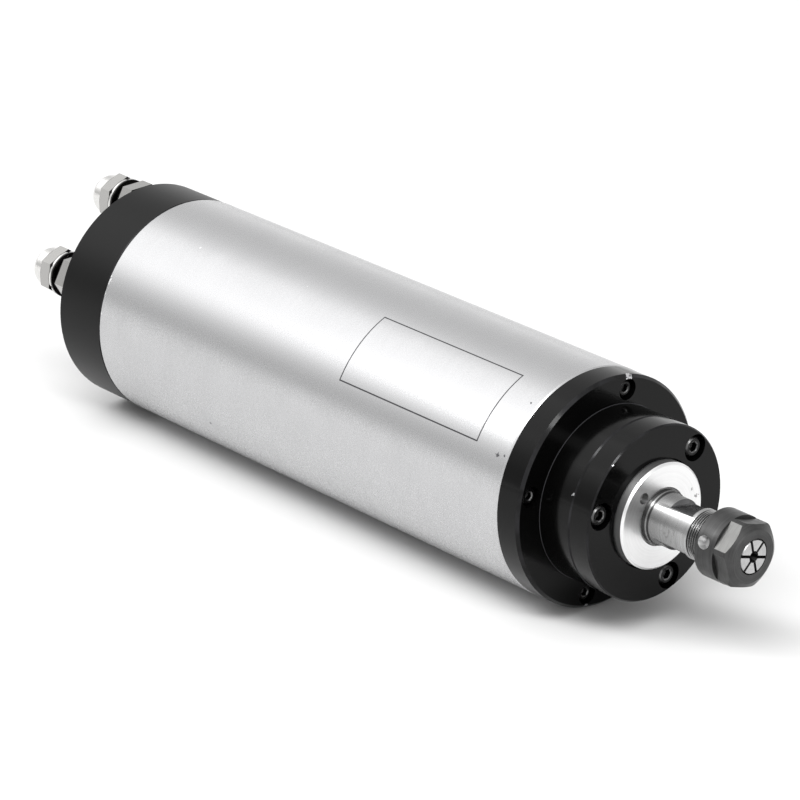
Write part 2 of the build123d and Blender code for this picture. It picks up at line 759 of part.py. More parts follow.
def make_collet_catch():
    """Off-centre rib inside the nut that pulls the collet out by its groove."""
    relief = collet_diameter / 2 + nut_relief_gap
    start = collet_big_end + (collet_groove_width - catch_width) / 2
    hole = rod(start, start + catch_width, collet_land_diameter / 2 + catch_hole_gap, catch_offset, 0)
    return rod(start, start + catch_width, relief) - hole


bearings = {
    "front": make_bearing(neck_front - front_bearing_width, front_bearing_width,
                          front_bearing_bore, front_bearing_outside, front_ball_count),
    "second": make_bearing(bearing_rear, front_bearing_width,
                           front_bearing_bore, front_bearing_outside, front_ball_count),
    "rear": make_bearing(rear_bearing_rear, rear_bearing_width,
                         rear_bearing_bore, rear_bearing_outside, rear_ball_count)}
outer_spacer, inner_spacer = make_bearing_spacers()

save("body_tube", make_body_tube())
save("water_jacket", make_water_jacket())
save("jacket_seals", *make_jacket_seals())
save("stator_core", make_stator_core())
save("stator_windings", make_stator_windings())
save("front_housing", make_front_housing())
save("flange_screws", *make_flange_screws())
save("front_cover", make_front_cover())
save("cover_screws", *make_cover_screws())
for place, (outer_ring, inner_ring, balls, cage) in bearings.items():
    save(f"{place}_bearing_outer_ring", outer_ring)
    save(f"{place}_bearing_inner_ring", inner_ring)
    save(f"{place}_bearing_balls", *balls)
    save(f"{place}_bearing_cage", cage)
save("outer_spacer", outer_spacer)
save("rear_housing", make_rear_housing())
save("wave_washer", make_wave_washer())
save("rear_cap", make_rear_cap())
save("rear_cap_screws", *make_rear_screws())
for name, offset, angle in (("inlet", inlet_offset, inlet_angle), ("outlet", outlet_offset, outlet_angle)):
    save(f"{name}_seal", placed(make_fitting_seal(), offset, angle))
    save(f"{name}_fitting", placed(make_fitting_body(), offset, angle))
    save(f"{name}_olive", placed(make_olive(), offset, angle))
    save(f"{name}_nut", placed(make_hose_nut(), offset, angle))
save("socket_shell", placed(make_socket_shell(), socket_offset, socket_angle))
save("socket_insert", placed(make_socket_insert(), socket_offset, socket_angle))
save("socket_pins", *[placed(pin, socket_offset, socket_angle) for pin in make_socket_pins()])
save("socket_nut", placed(make_socket_nut(), socket_offset, socket_angle))
save("lead_wires", *make_lead_wires())
save("shaft", make_shaft())
save("rotor_core", make_rotor_core())
save("rotor_end_rings", *make_rotor_end_rings())
save("inner_spacer", inner_spacer)
save("dust_cap", make_dust_cap())
save("rear_lock_nut", make_rear_lock_nut())
save("collet", make_collet())
save("collet_nut", make_collet_nut() + make_collet_catch())
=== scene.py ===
import json
import math
import bmesh
import bpy
from mathutils import Matrix, Vector


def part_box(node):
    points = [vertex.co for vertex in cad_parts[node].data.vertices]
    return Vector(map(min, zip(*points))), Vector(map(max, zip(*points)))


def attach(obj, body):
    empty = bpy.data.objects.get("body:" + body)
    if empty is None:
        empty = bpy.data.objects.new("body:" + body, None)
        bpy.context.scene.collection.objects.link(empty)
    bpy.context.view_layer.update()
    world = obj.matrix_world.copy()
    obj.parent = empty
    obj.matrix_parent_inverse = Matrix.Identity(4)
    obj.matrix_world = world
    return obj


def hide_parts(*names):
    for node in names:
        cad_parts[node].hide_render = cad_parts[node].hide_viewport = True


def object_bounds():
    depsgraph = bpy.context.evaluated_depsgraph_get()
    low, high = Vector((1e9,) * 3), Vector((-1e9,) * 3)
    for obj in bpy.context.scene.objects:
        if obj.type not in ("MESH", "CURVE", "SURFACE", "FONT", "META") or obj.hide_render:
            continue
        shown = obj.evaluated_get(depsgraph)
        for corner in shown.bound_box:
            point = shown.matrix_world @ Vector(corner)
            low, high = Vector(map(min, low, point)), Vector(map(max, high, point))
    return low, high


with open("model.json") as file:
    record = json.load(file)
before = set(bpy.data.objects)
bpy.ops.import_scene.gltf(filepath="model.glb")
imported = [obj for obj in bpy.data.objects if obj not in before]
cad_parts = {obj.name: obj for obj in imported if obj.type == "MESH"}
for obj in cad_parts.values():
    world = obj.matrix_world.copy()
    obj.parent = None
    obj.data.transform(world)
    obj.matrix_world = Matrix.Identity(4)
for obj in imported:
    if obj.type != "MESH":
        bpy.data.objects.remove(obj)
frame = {"nodes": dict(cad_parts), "record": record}
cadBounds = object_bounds()
mm = 0.001
nodes = frame["nodes"]
print("spindle: frame loaded with", len(nodes), "nodes")

# small helpers
sharpAngle = math.radians(28)      # edges with a sharper bend stay crisp


def toLinear(hexColour):
    channels = [int(hexColour[i:i + 2], 16) / 255 for i in (1, 3, 5)]
    return tuple(c / 12.92 if c <= 0.04045 else ((c + 0.055) / 1.055) ** 2.4 for c in channels) + (1.0,)


def addNode(tree, kind, settings=None, inputs=None):
    node = tree.nodes.new(kind)
    for name, value in (settings or {}).items():
        setattr(node, name, value)
    for name, value in (inputs or {}).items():
        if isinstance(value, bpy.types.NodeSocket):
            tree.links.new(value, node.inputs[name])
        else:
            node.inputs[name].default_value = value
    return node


def newMaterial(name, shaderInputs):
    material = bpy.data.materials.new(name)
    material.use_nodes = True
    tree = material.node_tree
    tree.nodes.clear()
    shader = addNode(tree, "ShaderNodeBsdfPrincipled", inputs=shaderInputs)
    addNode(tree, "ShaderNodeOutputMaterial", inputs={"Surface": shader.outputs[0]})
    return material, tree, shader


def finishPiece(name, shape, body, material, nodeName):
    # the finished shape rides on its body and takes the place of the plain CAD node
    mesh = bpy.data.meshes.new(name)
    shape.to_mesh(mesh)
    shape.free()
    for polygon in mesh.polygons:
        polygon.use_smooth = True
    mesh.set_sharp_from_angle(angle=sharpAngle)
    piece = bpy.data.objects.new(name, mesh)
    bpy.context.scene.collection.objects.link(piece)
    mesh.materials.append(material)
    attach(piece, body)
    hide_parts(nodeName)


# places that several pieces share
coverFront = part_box("front_cover")[1][0]
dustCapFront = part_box("dust_cap")[1][0]
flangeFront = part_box("front_housing")[1][0] - 11 * mm      # the neck stands 11 mm out of the flange
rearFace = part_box("rear_cap")[0][0]
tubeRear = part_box("body_tube")[0][0]
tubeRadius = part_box("body_tube")[1][2]
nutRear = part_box("collet_nut")[0][0]
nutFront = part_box("collet_nut")[1][0]
noseThread = {"first": coverFront + 17.8 * mm, "last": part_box("shaft")[1][0] - 0.6 * mm}      # on the shaft

# camera, at the angle from which the nose, the flange and the tube's side show together
camera = {"place": (0.7837, -0.6809, 0.4351), "look": (-0.6916, 0.6087, -0.3888),
          "lens": 181.2, "sensor": 36.0}

cameraData = bpy.data.cameras.new("viewCamera")
cameraData.lens = camera["lens"]
cameraData.sensor_width = camera["sensor"]
cameraObject = bpy.data.objects.new("viewCamera", cameraData)
cameraObject.location = camera["place"]
cameraObject.rotation_euler = Vector(camera["look"]).to_track_quat("-Z", "Y").to_euler()
bpy.context.scene.collection.objects.link(cameraObject)
bpy.context.scene.camera = cameraObject
bpy.context.scene.view_settings.view_transform = "Standard"
print("spindle: camera placed")

# studio: a pale floor, a tent of soft light that changes round the spindle's axis, and a soft box
studio = {
    "floorSize": 6.0, "floorRoughness": 0.9,
    "floorColour": "#C3C3C3",     # renders white in this light and keeps the shadow
    "boxPlace": (0.22, -0.60, 1.05), "boxSize": (2.4, 0.26), "boxPower": 25.0,
    # degrees from +Y over the top to -Y, and the light that comes from there
    "tent": [(-180, 0.90), (-30, 0.95), (0, 1.25), (22, 0.98), (45, 0.87), (62, 0.95), (76, 1.24),
             (88, 1.75), (100, 1.80), (126, 1.75), (138, 1.45), (152, 0.96), (164, 0.68), (176, 0.68),
             (180, 0.90)]}


def buildFloor():
    shape = bmesh.new()
    bmesh.ops.create_grid(shape, x_segments=1, y_segments=1, size=studio["floorSize"] / 2,
                          matrix=Matrix.Translation((0, 0, cadBounds[0][2])))
    mesh = bpy.data.meshes.new("studioFloor")
    shape.to_mesh(mesh)
    shape.free()
    floor = bpy.data.objects.new("studioFloor", mesh)
    bpy.context.scene.collection.objects.link(floor)
    mesh.materials.append(newMaterial("mattPaperFloor", {
        "Base Color": toLinear(studio["floorColour"]), "Roughness": studio["floorRoughness"],
        "Specular IOR Level": 0.0})[0])


def buildTent():
    world = bpy.data.worlds.new("studioTent")
    bpy.context.scene.world = world
    world.use_nodes = True
    tree = world.node_tree
    tree.nodes.clear()
    direction = addNode(tree, "ShaderNodeTexCoord").outputs["Generated"]
    split = addNode(tree, "ShaderNodeSeparateXYZ", inputs={0: direction})
    angle = addNode(tree, "ShaderNodeMath", {"operation": "ARCTAN2"}, {
        0: split.outputs["Z"], 1: split.outputs["Y"]}).outputs[0]
    share = addNode(tree, "ShaderNodeMapRange", inputs={
        "Value": angle, "From Min": -math.pi, "From Max": math.pi}).outputs[0]
    ramp = addNode(tree, "ShaderNodeValToRGB", inputs={0: share})
    stops = ramp.color_ramp.elements
    ramp.color_ramp.interpolation = "EASE"
    brightest = max(level for _, level in studio["tent"])
    for degrees, level in studio["tent"]:
        at = (degrees + 180) / 360
        stop = stops.new(at) if 0 < at < 1 else stops[round(at)]      # a new ramp has stops at 0 and 1
        stop.color = (level / brightest,) * 3 + (1.0,)
    background = addNode(tree, "ShaderNodeBackground", inputs={
        "Color": ramp.outputs[0], "Strength": brightest})
    addNode(tree, "ShaderNodeOutputWorld", inputs={"Surface": background.outputs[0]})


def buildSoftBox():
    light = bpy.data.lights.new("topSoftBox", "AREA")
    light.shape = "RECTANGLE"
    light.size, light.size_y = studio["boxSize"]
    light.energy = studio["boxPower"]
    lamp = bpy.data.objects.new("topSoftBox", light)
    lamp.location = studio["boxPlace"]
    lamp.rotation_euler = (-Vector(studio["boxPlace"])).to_track_quat("-Z", "Y").to_euler()
    lamp.visible_camera = False
    bpy.context.scene.collection.objects.link(lamp)


buildFloor()
buildTent()
buildSoftBox()
print("spindle: floor, light tent and soft box built")

# patterns that several finishes share
latheDrift = 90.0      # per metre: how fast a line changes along its own length
chipRim = {"grain": 0.7 * mm, "ragged": 5.0, "solid": 0.8}      # solid: the share of the reach without fade
speckField = {"empty": 0.75, "rim": 0.4}      # the share of places without a spot, and a spot's soft rim


def measurePlace(tree):
    # the place on the piece: itself, its arm from the spindle's axis, how far along and how far out it is
    place = addNode(tree, "ShaderNodeTexCoord").outputs["Object"]
    arm = addNode(tree, "ShaderNodeVectorMath", {"operation": "MULTIPLY"}, {
        0: place, 1: (0, 1, 1)}).outputs[0]
    radius = addNode(tree, "ShaderNodeVectorMath", {"operation": "LENGTH"}, {0: arm}).outputs["Value"]
    along = addNode(tree, "ShaderNodeSeparateXYZ", inputs={0: place}).outputs["X"]
    return {"place": place, "arm": arm, "along": along, "radius": radius}


def facingNose(tree):
    # 1 on a face that looks to the nose, 0 on the sides and -1 on a face that looks to the rear
    normal = addNode(tree, "ShaderNodeNewGeometry").outputs["True Normal"]
    return addNode(tree, "ShaderNodeSeparateXYZ", inputs={0: normal}).outputs["X"]


def latheLines(tree, at, pitch):
    # fine uneven lines round the axis, on faces as well as on sides
    across = addNode(tree, "ShaderNodeCombineXYZ", inputs={0: at["along"], 1: at["radius"]}).outputs[0]
    fine = addNode(tree, "ShaderNodeVectorMath", {"operation": "SCALE"}, {
        0: across, "Scale": 1 / pitch}).outputs[0]
    slow = addNode(tree, "ShaderNodeVectorMath", {"operation": "SCALE"}, {
        0: at["arm"], "Scale": latheDrift}).outputs[0]
    both = addNode(tree, "ShaderNodeVectorMath", {"operation": "ADD"}, {0: fine, 1: slow}).outputs[0]
    return addNode(tree, "ShaderNodeTexNoise", inputs={
        "Vector": both, "Scale": 1.0, "Detail": 2.0}).outputs["Fac"]


def acrossLines(tree, at):
    # direction across the lathe's lines, along which they spread a highlight
    around = addNode(tree, "ShaderNodeVectorMath", {"operation": "CROSS_PRODUCT"}, {
        0: (1, 0, 0), 1: at["arm"]}).outputs[0]
    inWorld = addNode(tree, "ShaderNodeVectorTransform", {
        "vector_type": "VECTOR", "convert_from": "OBJECT", "convert_to": "WORLD"}, {0: around}).outputs[0]
    normal = addNode(tree, "ShaderNodeNewGeometry").outputs["Normal"]
    return addNode(tree, "ShaderNodeVectorMath", {"operation": "CROSS_PRODUCT"}, {
        0: inWorld, 1: normal}).outputs[0]


def millStrokes(tree, at, pitch, length, detail):
    # short strokes of a milling cutter, laid side by side along the axis
    stretched = addNode(tree, "ShaderNodeMapping", inputs={
        "Vector": at["place"], "Scale": (1 / pitch, 1 / length, 1 / length)}).outputs[0]
    return addNode(tree, "ShaderNodeTexNoise", inputs={
        "Vector": stretched, "Scale": 1.0, "Detail": detail}).outputs["Fac"]


def between(tree, value, low, high, edge):
    # 1 from low to high, and 0 from one edge's width outside
    rise = addNode(tree, "ShaderNodeMapRange", inputs={
        "Value": value, "From Min": low - edge, "From Max": low}).outputs[0]
    fall = addNode(tree, "ShaderNodeMapRange", inputs={
        "Value": value, "From Min": high, "From Max": high + edge, "To Min": 1.0, "To Max": 0.0}).outputs[0]
    return addNode(tree, "ShaderNodeMath", {"operation": "MULTIPLY"}, {0: rise, 1: fall}).outputs[0]


def specks(tree, at, spacing, share):
    # scattered small spots: spacing is the distance between places, share how much of it the largest reaches
    cells = addNode(tree, "ShaderNodeTexVoronoi", inputs={"Vector": at["place"], "Scale": 1 / spacing})
    pick = addNode(tree, "ShaderNodeSeparateColor", inputs={0: cells.outputs["Color"]}).outputs[0]
    reach = addNode(tree, "ShaderNodeMapRange", inputs={
        "Value": pick, "From Min": speckField["empty"], "From Max": 1.0,
        "To Min": 0.0, "To Max": share}).outputs[0]
    inside = addNode(tree, "ShaderNodeMath", {"operation": "SUBTRACT"}, {
        0: reach, 1: cells.outputs["Distance"]}).outputs[0]
    return addNode(tree, "ShaderNodeMapRange", inputs={
        "Value": inside, "From Min": 0.0, "From Max": share * speckField["rim"]}).outputs[0]


def ringSpot(along, radius, degrees):
    return along, radius * math.cos(math.radians(degrees)), radius * math.sin(math.radians(degrees))


def chips(tree, at, spots):
    # ragged spots at given places: how far along, how far out, at what angle, and each one's reach
    rough = addNode(tree, "ShaderNodeTexNoise", inputs={
        "Vector": at["place"], "Scale": 1 / chipRim["grain"], "Detail": 3.0}).outputs["Fac"]
    ragged = addNode(tree, "ShaderNodeMath", {"operation": "SUBTRACT"}, {0: rough, 1: 0.5}).outputs[0]
    total = None
    for along, radius, degrees, reach in spots:
        away = addNode(tree, "ShaderNodeVectorMath", {"operation": "DISTANCE"}, {
            0: at["place"], 1: ringSpot(along, radius, degrees)}).outputs["Value"]
        bent = addNode(tree, "ShaderNodeMath", {"operation": "MULTIPLY_ADD"}, {
            0: ragged, 1: -chipRim["ragged"] * reach, 2: away}).outputs[0]
        inside = addNode(tree, "ShaderNodeMapRange", inputs={
            "Value": bent, "From Min": reach * chipRim["solid"], "From Max": reach,
            "To Min": 1.0, "To Max": 0.0}).outputs[0]
        total = inside if total is None else addNode(tree, "ShaderNodeMath", {"operation": "MAXIMUM"}, {
            0: total, 1: inside}).outputs[0]
    return total


def overlay(tree, colour, coats):
    # colours laid over one another: each coat is a mask, and a hex colour or a socket that gives one
    for mask, shade in coats:
        shade = toLinear(shade) if isinstance(shade, str) else shade
        colour = addNode(tree, "ShaderNodeMix", {"data_type": "RGBA"}, {
            "Factor": mask, 6: colour, 7: shade}).outputs[2]      # 6, 7 and 2 are its colour sockets
    return colour


# finishes of the outer pieces


def etchedBorder(tree, at, border):
    # the outline of a rectangle that is wrapped round the tube
    arm = addNode(tree, "ShaderNodeSeparateXYZ", inputs={0: at["arm"]})
    angle = addNode(tree, "ShaderNodeMath", {"operation": "ARCTAN2"}, {
        0: arm.outputs["Z"], 1: arm.outputs["Y"]}).outputs[0]
    arc = addNode(tree, "ShaderNodeMath", {"operation": "MULTIPLY"}, {0: angle, 1: tubeRadius}).outputs[0]
    unrolled = addNode(tree, "ShaderNodeCombineXYZ", inputs={0: at["along"], 1: arc}).outputs[0]
    degree = math.radians(1) * tubeRadius
    middle = ((border["from"] + border["to"]) / 2, (border["fromAngle"] + border["toAngle"]) / 2 * degree, 0)
    half = ((border["to"] - border["from"]) / 2, (border["toAngle"] - border["fromAngle"]) / 2 * degree, 0)
    centred = addNode(tree, "ShaderNodeVectorMath", {"operation": "SUBTRACT"}, {
        0: unrolled, 1: middle}).outputs[0]
    mirrored = addNode(tree, "ShaderNodeVectorMath", {"operation": "ABSOLUTE"}, {0: centred}).outputs[0]
    past = addNode(tree, "ShaderNodeVectorMath", {"operation": "SUBTRACT"}, {0: mirrored, 1: half}).outputs[0]
    sides = addNode(tree, "ShaderNodeSeparateXYZ", inputs={0: past})
    edge = addNode(tree, "ShaderNodeMath", {"operation": "MAXIMUM"}, {
        0: sides.outputs["X"], 1: sides.outputs["Y"]}).outputs[0]
    return between(tree, edge, -border["line"] / 2, border["line"] / 2, 0.05 * mm)


def groundStainlessTube():
    # belt-ground stainless tube: a satin grain too fine to shine hard, faint rings and a few pits and nicks.
    # The grain is drawn at 0.4 mm, coarser than the real one, so that it shows.
    look = {"colour": "#C1C1C2", "dark": "#B7B7B8", "pit": "#6A6A6C", "nick": "#F4F4F4",
            "dull": 0.31, "glossy": 0.24, "grain": 0.4 * mm, "rings": 0.9 * mm, "patches": 11 * mm,
            "ringShare": 0.3, "patchShare": 0.55, "darkBelow": 0.65, "brightAbove": 1.2,
            "flecks": 7 * mm, "fleckReach": 0.05, "relief": 0.02, "depth": 0.05 * mm}
    nicks = [(tubeRear + 0.3 * mm, tubeRadius, 151.0, 0.9 * mm),
             (tubeRear + 0.2 * mm, tubeRadius, 158.6, 0.7 * mm),
             (tubeRear + 0.1 * mm, tubeRadius, 169.0, 0.4 * mm),
             (-59.8 * mm, tubeRadius, 115.9, 0.35 * mm), (-2.1 * mm, tubeRadius, 165.4, 0.3 * mm)]
    pits = [(81.0 * mm, tubeRadius, 152.2, 0.5 * mm), (83.6 * mm, tubeRadius, 151.2, 0.35 * mm),
            (-37.7 * mm, tubeRadius, -154.7, 0.45 * mm), (82.0 * mm, tubeRadius, 123.4, 0.3 * mm)]
    # plain etched border, where such a motor has its data
    border = {"from": 17.35 * mm, "to": 72.45 * mm, "fromAngle": 111.5, "toAngle": 150.0, "line": 0.34 * mm,
              "colour": "#4C4C4E"}
    material, tree, shader = newMaterial("groundStainlessTube", {"Metallic": 1.0})
    at = measurePlace(tree)
    grain = addNode(tree, "ShaderNodeTexNoise", inputs={
        "Vector": at["place"], "Scale": 1 / look["grain"], "Detail": 1.0}).outputs["Fac"]
    patches = addNode(tree, "ShaderNodeTexNoise", inputs={
        "Vector": at["place"], "Scale": 1 / look["patches"], "Detail": 5.0}).outputs["Fac"]
    mixed = addNode(tree, "ShaderNodeMath", {"operation": "MULTIPLY_ADD"}, {
        0: patches, 1: look["patchShare"], 2: grain}).outputs[0]
    mixed = addNode(tree, "ShaderNodeMath", {"operation": "MULTIPLY_ADD"}, {
        0: latheLines(tree, at, look["rings"]), 1: look["ringShare"], 2: mixed}).outputs[0]
    tone = addNode(tree, "ShaderNodeMapRange", inputs={
        "Value": mixed, "From Min": look["darkBelow"], "From Max": look["brightAbove"]}).outputs[0]
    gloss = addNode(tree, "ShaderNodeMapRange", inputs={
        "Value": mixed, "From Min": look["darkBelow"], "From Max": look["brightAbove"],
        "To Min": look["dull"], "To Max": look["glossy"]}).outputs[0]
    bright = addNode(tree, "ShaderNodeMath", {"operation": "MAXIMUM"}, {
        0: chips(tree, at, nicks), 1: specks(tree, at, look["flecks"], look["fleckReach"])}).outputs[0]
    colour = overlay(tree, toLinear(look["dark"]), [
        (tone, look["colour"]), (bright, look["nick"]), (chips(tree, at, pits), look["pit"]),
        (etchedBorder(tree, at, border), border["colour"])])
    tree.links.new(colour, shader.inputs["Base Color"])
    tree.links.new(gloss, shader.inputs["Roughness"])
    bump = addNode(tree, "ShaderNodeBump", inputs={
        "Height": mixed, "Strength": look["relief"], "Distance": look["depth"]}).outputs["Normal"]
    tree.links.new(bump, shader.inputs["Normal"])
    return material


def blackAnodised():
    # black anodised aluminium: nearly black with a gloss like glass, bare metal at nicks and along worn
    # edges, where it is also a painted highlight on the chamfers, and a duller rear cap that was blasted
    # before it was dyed
    look = {"colour": "#020202", "line": "#050505", "dust": "#161616", "bare": "#C8C8CA", "edge": "#38383A",
            "corner": "#303032", "ior": 1.245, "roughness": 0.12, "capRoughness": 0.34, "lineRoughness": 0.04,
            "lines": 0.35 * mm, "relief": 0.04, "depth": 0.03 * mm, "dustSpacing": 5 * mm, "dustReach": 0.035}
    # wear and painted highlight of the chamfers, which slope at 45 degrees: how much they lose where the
    # noise is low and high
    chamferWearAndHighlight = {"patches": 6 * mm, "low": 0.4, "high": 0.7, "least": 0.1, "most": 0.6, "slope": (0.6, 0.8)}
    blasted = {"from": tubeRear + 6 * mm, "fade": 2 * mm}      # and all that lies behind it
    # painted highlight: a lit corner at the neck's foot, from the flange's face forwards, and out from the
    # axis
    foot = {"from": flangeFront - 0.1 * mm, "to": flangeFront + 0.16 * mm,
            "inner": 24.0 * mm, "outer": 24.62 * mm}
    nicks = [(flangeFront, 32.2 * mm, 77.4, 0.95 * mm), (flangeFront, 31.6 * mm, 75.0, 0.4 * mm),
             (flangeFront, 31.7 * mm, -102.5, 0.6 * mm),
             (coverFront - 7.5 * mm, 24.5 * mm, 157.2, 0.35 * mm), (coverFront, 24.4 * mm, 131.0, 0.3 * mm)]
    material, tree, shader = newMaterial("blackAnodisedAluminium", {"IOR": look["ior"]})
    at = measurePlace(tree)
    lines = latheLines(tree, at, look["lines"])
    isCap = addNode(tree, "ShaderNodeMapRange", inputs={
        "Value": at["along"], "From Min": blasted["from"] + blasted["fade"], "From Max": blasted["from"]})
    gloss = addNode(tree, "ShaderNodeMapRange", inputs={
        "Value": isCap.outputs[0], "To Min": look["roughness"], "To Max": look["capRoughness"]}).outputs[0]
    gloss = addNode(tree, "ShaderNodeMath", {"operation": "MULTIPLY_ADD"}, {
        0: lines, 1: look["lineRoughness"], 2: gloss}).outputs[0]
    patches = addNode(tree, "ShaderNodeTexNoise", inputs={
        "Vector": at["place"], "Scale": 1 / chamferWearAndHighlight["patches"], "Detail": 4.0}).outputs["Fac"]
    worn = addNode(tree, "ShaderNodeMapRange", inputs={
        "Value": patches, "From Min": chamferWearAndHighlight["low"], "From Max": chamferWearAndHighlight["high"],
        "To Min": chamferWearAndHighlight["least"], "To Max": chamferWearAndHighlight["most"]}).outputs[0]
    slope = addNode(tree, "ShaderNodeMath", {"operation": "ABSOLUTE"}, {0: facingNose(tree)}).outputs[0]
    # painted highlight as well as wear: the chamfers turn lighter and metallic in patches
    edge = addNode(tree, "ShaderNodeMath", {"operation": "MULTIPLY"}, {
        0: between(tree, slope, *chamferWearAndHighlight["slope"], 0.05), 1: worn}).outputs[0]
    # painted highlight on the neck's foot
    corner = addNode(tree, "ShaderNodeMath", {"operation": "MULTIPLY"}, {
        0: between(tree, at["along"], foot["from"], foot["to"], 0.04 * mm),
        1: between(tree, at["radius"], foot["inner"], foot["outer"], 0.05 * mm)}).outputs[0]
    bare = chips(tree, at, nicks)
    colour = overlay(tree, toLinear(look["colour"]), [
        (lines, look["line"]), (specks(tree, at, look["dustSpacing"], look["dustReach"]), look["dust"]),
        (edge, look["edge"]), (corner, look["corner"]), (bare, look["bare"])])
    metal = addNode(tree, "ShaderNodeMath", {"operation": "MAXIMUM"}, {0: edge, 1: bare}).outputs[0]
    tree.links.new(colour, shader.inputs["Base Color"])
    tree.links.new(gloss, shader.inputs["Roughness"])
    tree.links.new(metal, shader.inputs["Metallic"])
    bump = addNode(tree, "ShaderNodeBump", inputs={
        "Height": lines, "Strength": look["relief"], "Distance": look["depth"]}).outputs["Normal"]
    tree.links.new(bump, shader.inputs["Normal"])
    return material


turning = {"cloudShare": 0.8, "darkBelow": 0.6, "brightAbove": 1.2, "glossChange": 0.15, "depth": 0.03 * mm}


def turnedMetal(name, look):
    # metal with the fine lines that a lathe leaves: a highlight spread across them, a slight change of tone.
    # The caller lays its own marks over the colour that comes back with the material.
    material, tree, shader = newMaterial(name, {"Metallic": 1.0, "Anisotropic": look["spread"]})
    at = measurePlace(tree)
    lines = latheLines(tree, at, look["lines"])
    clouds = addNode(tree, "ShaderNodeTexNoise", inputs={
        "Vector": at["place"], "Scale": 1 / look["clouds"], "Detail": 4.0}).outputs["Fac"]
    mixed = addNode(tree, "ShaderNodeMath", {"operation": "MULTIPLY_ADD"}, {
        0: clouds, 1: turning["cloudShare"], 2: lines}).outputs[0]
    tone = addNode(tree, "ShaderNodeMapRange", inputs={
        "Value": mixed, "From Min": turning["darkBelow"], "From Max": turning["brightAbove"]}).outputs[0]
    colour = overlay(tree, toLinear(look["dark"]), [(tone, look["colour"])])
    tree.links.new(colour, shader.inputs["Base Color"])
    if "roughness" in look:      # one roughness for the whole piece
        gloss = addNode(tree, "ShaderNodeMapRange", inputs={
            "Value": mixed, "From Min": turning["darkBelow"], "From Max": turning["brightAbove"],
            "To Min": look["roughness"] * (1 + turning["glossChange"]),
            "To Max": look["roughness"] * (1 - turning["glossChange"])}).outputs[0]
        tree.links.new(gloss, shader.inputs["Roughness"])
    if look["spread"] > 0:
        tree.links.new(acrossLines(tree, at), shader.inputs["Tangent"])
    bump = addNode(tree, "ShaderNodeBump", inputs={
        "Height": lines, "Strength": look["relief"], "Distance": turning["depth"]}).outputs["Normal"]
    tree.links.new(bump, shader.inputs["Normal"])
    return material, tree, shader, at, colour


def turnedSteelCap():
    # bright turned steel: a fan of light across the rings of its face, painted shade on its side, and a few
    # handling marks
    look = {"colour": "#F0F0F0", "dark": "#E4E4E4", "mark": "#9C9C9C", "side": "#858585", "hole": "#C2C2C2",
            "faceRoughness": 0.3, "sideRoughness": 0.5, "lines": 0.3 * mm, "clouds": 8 * mm, "spread": 0.6,
            "relief": 0.02}
    # how squarely a surface looks to the nose: below the first it has the side's painted shade, above the
    # others the face's look
    square = {"side": 0.2, "colour": 0.6, "gloss": 0.9}
    marks = [(dustCapFront, 12.5 * mm, 10.5, 0.6 * mm), (dustCapFront, 11.6 * mm, 24.0, 0.4 * mm)]
    pinHoles = {"offset": 9.9 * mm, "angles": (134, 314), "radius": 1.5 * mm, "rim": 0.2 * mm}
    material, tree, shader, at, colour = turnedMetal("turnedSteelCap", look)
    colour = overlay(tree, colour, [(chips(tree, at, marks), look["mark"])])
    # painted shade: each pin hole, which is not modelled, is a darker disc on the face
    for degrees in pinHoles["angles"]:
        away = addNode(tree, "ShaderNodeVectorMath", {"operation": "DISTANCE"}, {
            0: at["arm"], 1: ringSpot(0.0, pinHoles["offset"], degrees)}).outputs["Value"]
        hole = addNode(tree, "ShaderNodeMapRange", inputs={
            "Value": away, "From Min": pinHoles["radius"], "From Max": pinHoles["radius"] + pinHoles["rim"],
            "To Min": 1.0, "To Max": 0.0}).outputs[0]
        colour = overlay(tree, colour, [(hole, look["hole"])])
    facing = facingNose(tree)
    gloss = addNode(tree, "ShaderNodeMapRange", inputs={
        "Value": facing, "From Min": square["side"], "From Max": square["gloss"],
        "To Min": look["sideRoughness"], "To Max": look["faceRoughness"]}).outputs[0]
    isFace = addNode(tree, "ShaderNodeMapRange", inputs={
        "Value": facing, "From Min": square["side"], "From Max": square["colour"]}).outputs[0]
    # painted shade: the side is given a darker colour than the face
    colour = overlay(tree, toLinear(look["side"]), [(isFace, colour)])
    tree.links.new(colour, shader.inputs["Base Color"])
    tree.links.new(gloss, shader.inputs["Roughness"])
    return material


